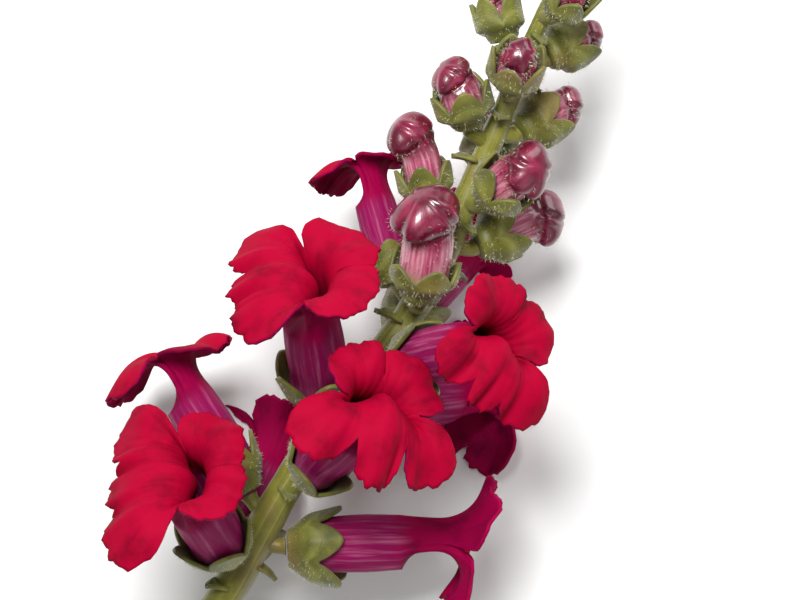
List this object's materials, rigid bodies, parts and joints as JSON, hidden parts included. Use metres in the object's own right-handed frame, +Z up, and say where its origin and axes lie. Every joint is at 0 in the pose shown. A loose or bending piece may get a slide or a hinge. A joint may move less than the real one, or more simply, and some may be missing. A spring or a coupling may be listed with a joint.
{
  "type": "snapdragon stem",
  "caption": "Cut spike of snapdragon lying down: a bare green stem, open two-lipped crimson flowers in green calyces, and closed buds up to the tip.",
  "frame": {"origin": "middle of the foot of the bounding box, on the surface that the stem lies on", "axes": "+Y along the stem from its cut end to the tip of the spike, +Z up from the surface towards the side that the picture shows, +X to the right of the spike"},
  "size_m": [0.0784, 0.214, 0.0687],
  "materials": {
    "stem": "green plant stem, slightly waxy",
    "calyx": "green sepals with fine pale hairs",
    "petals": "velvety crimson petal, magenta on the tube",
    "buds": "glossy plum-red closed petals, paler on the tube"
  },
  "bodies": {
    "root": {"bud_1": "buds", "bud_10": "buds", "bud_11": "buds", "bud_2": "buds", "bud_3": "buds", "bud_4": "buds", "bud_5": "buds", "bud_6": "buds", "bud_7": "buds", "bud_8": "buds", "bud_9": "buds", "calyx_1": "calyx", "calyx_10": "calyx", "calyx_2": "calyx", "calyx_3": "calyx", "calyx_4": "calyx", "calyx_5": "calyx", "calyx_6": "calyx", "calyx_7": "calyx", "calyx_8": "calyx", "calyx_9": "calyx", "calyx_bud_1": "calyx", "calyx_bud_10": "calyx", "calyx_bud_11": "calyx", "calyx_bud_2": "calyx", "calyx_bud_3": "calyx", "calyx_bud_4": "calyx", "calyx_bud_5": "calyx", "calyx_bud_6": "calyx", "calyx_bud_7": "calyx", "calyx_bud_8": "calyx", "calyx_bud_9": "calyx", "corolla_1": "petals", "corolla_10": "petals", "corolla_2": "petals", "corolla_3": "petals", "corolla_4": "petals", "corolla_5": "petals", "corolla_6": "petals", "corolla_7": "petals", "corolla_8": "petals", "corolla_9": "petals", "stem": "stem"}
  },
  "joints": []
}
